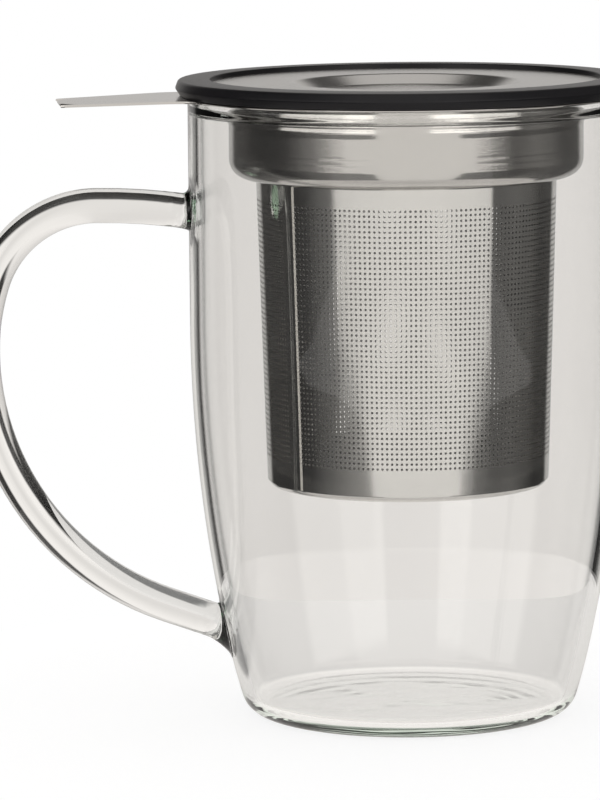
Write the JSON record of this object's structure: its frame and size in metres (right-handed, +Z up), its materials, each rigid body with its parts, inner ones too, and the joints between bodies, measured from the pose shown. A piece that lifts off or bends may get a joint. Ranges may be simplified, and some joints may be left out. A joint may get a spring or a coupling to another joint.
{
  "type": "tea mug with infuser and lid",
  "caption": "Clear glass tea mug with a rod handle, a lift-out perforated steel infuser with a grip tab and a loose dished steel lid in a soft black ring.",
  "frame": {"origin": "centre of the mug's flat base, on the surface that it stands on", "axes": "+Z up along the mug's axis, -X towards the handle and the infuser's tab"},
  "size_m": [0.133, 0.0908, 0.1265],
  "materials": {
    "glass": "clear, fire-polished borosilicate",
    "steel": "satin stainless steel",
    "steel_mesh": "fine perforated stainless steel",
    "soft_ring": "matt black silicone"
  },
  "bodies": {
    "mug": {"mug_body": "glass", "mug_handle": "glass"},
    "infuser": {"infuser_collar": "steel", "basket_wall": "steel_mesh", "basket_floor": "steel_mesh"},
    "lid": {"lid_plate": "steel", "lid_ring": "soft_ring"}
  },
  "joints": [
    {"name": "infuser_lift", "type": "slide", "parent": "mug", "child": "infuser", "axis": [0, 0, 1], "range_m": [0, 0.09]},
    {"name": "lid_lift", "type": "slide", "parent": "infuser", "child": "lid", "axis": [0, 0, 1], "range_m": [0, 0.04]}
  ]
}
